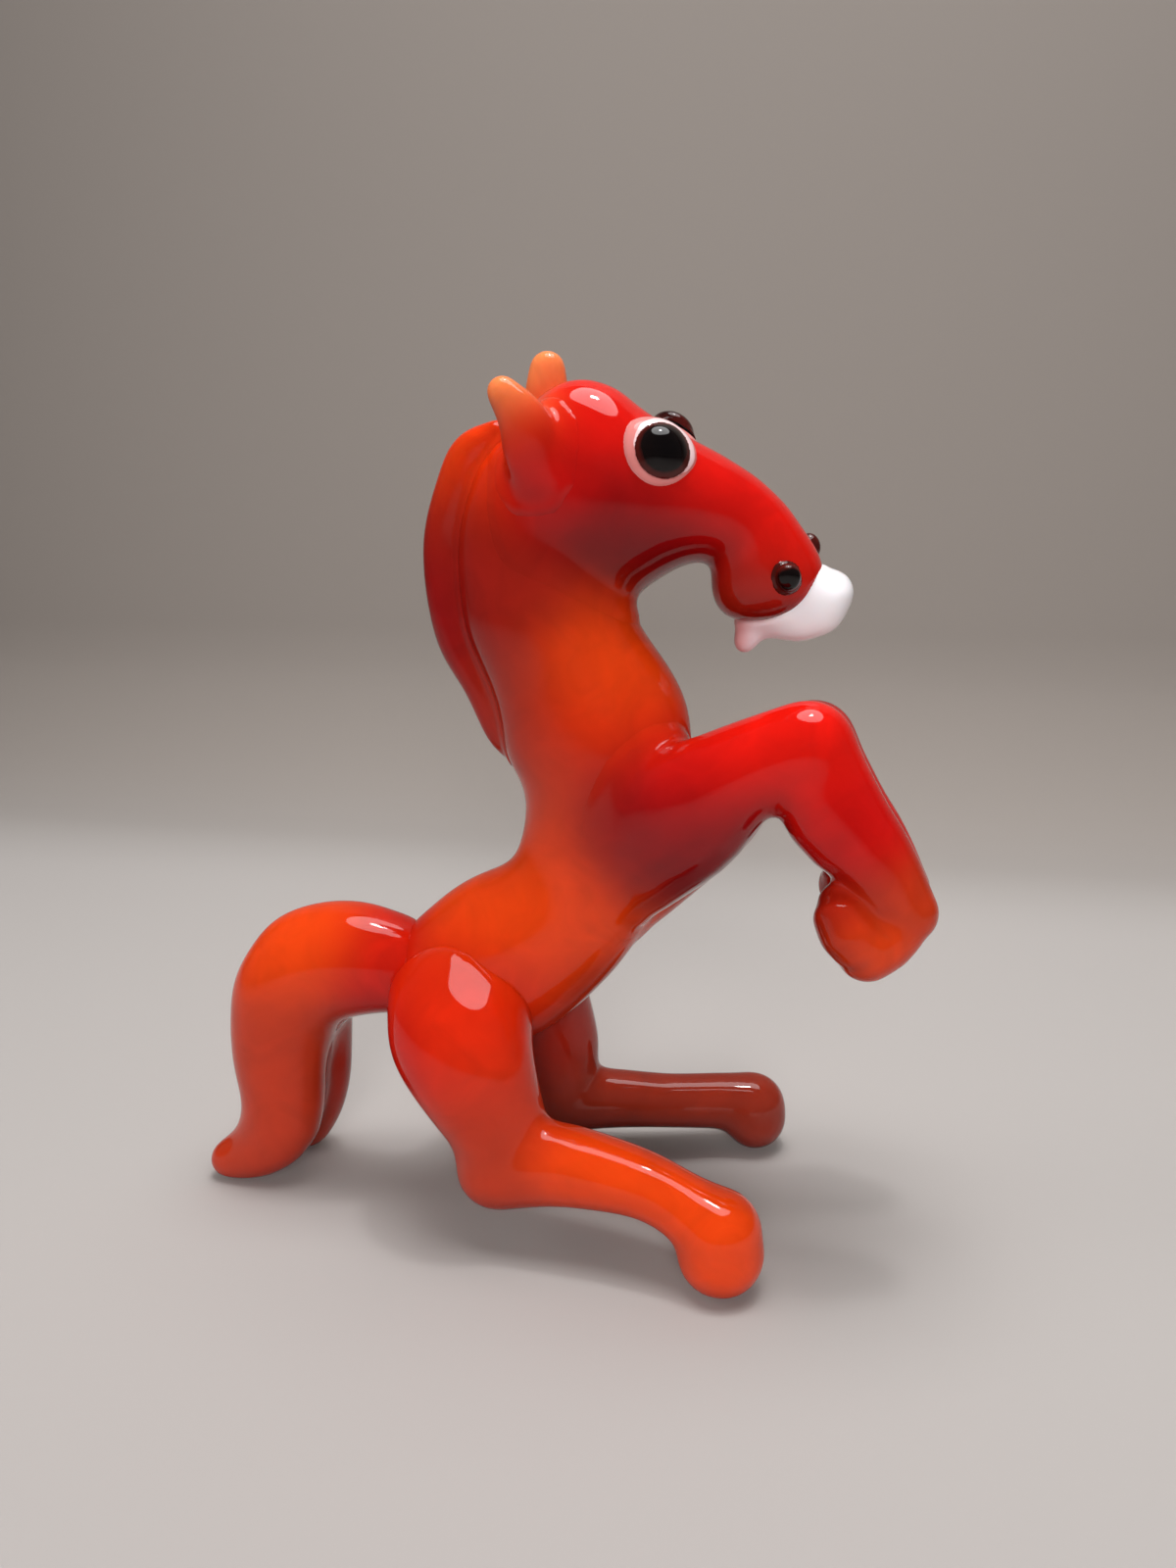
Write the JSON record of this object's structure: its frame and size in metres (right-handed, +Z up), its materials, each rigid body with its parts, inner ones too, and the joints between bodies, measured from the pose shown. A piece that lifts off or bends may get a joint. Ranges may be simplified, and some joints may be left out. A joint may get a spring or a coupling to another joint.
{
  "type": "glass horse figurine",
  "caption": "Small lampworked glass figurine of a rearing horse with folded forelegs, standing on its hind hooves and tail.",
  "frame": {"origin": "on the ground, under the middle of the figurine's outline", "axes": "+Z up, +X the way the horse faces, +Y to the horse's left"},
  "size_m": [0.0654, 0.0304, 0.0747],
  "materials": {
    "orange_glass": "gloss",
    "red_glass": "gloss",
    "maroon_glass": "gloss",
    "white_glass": "gloss",
    "black_glass": "gloss"
  },
  "bodies": {
    "root": {"body_and_neck": "orange_glass", "head": "red_glass", "mane": "maroon_glass", "tail": "orange_glass", "muzzle_lip": "white_glass", "right_ear": "orange_glass", "right_eye_white": "white_glass", "right_pupil": "black_glass", "right_nostril": "black_glass", "right_foreleg": "red_glass", "right_hind_leg": "orange_glass", "left_ear": "orange_glass", "left_eye_white": "white_glass", "left_pupil": "black_glass", "left_nostril": "black_glass", "left_foreleg": "red_glass", "left_hind_leg": "orange_glass"}
  },
  "joints": []
}
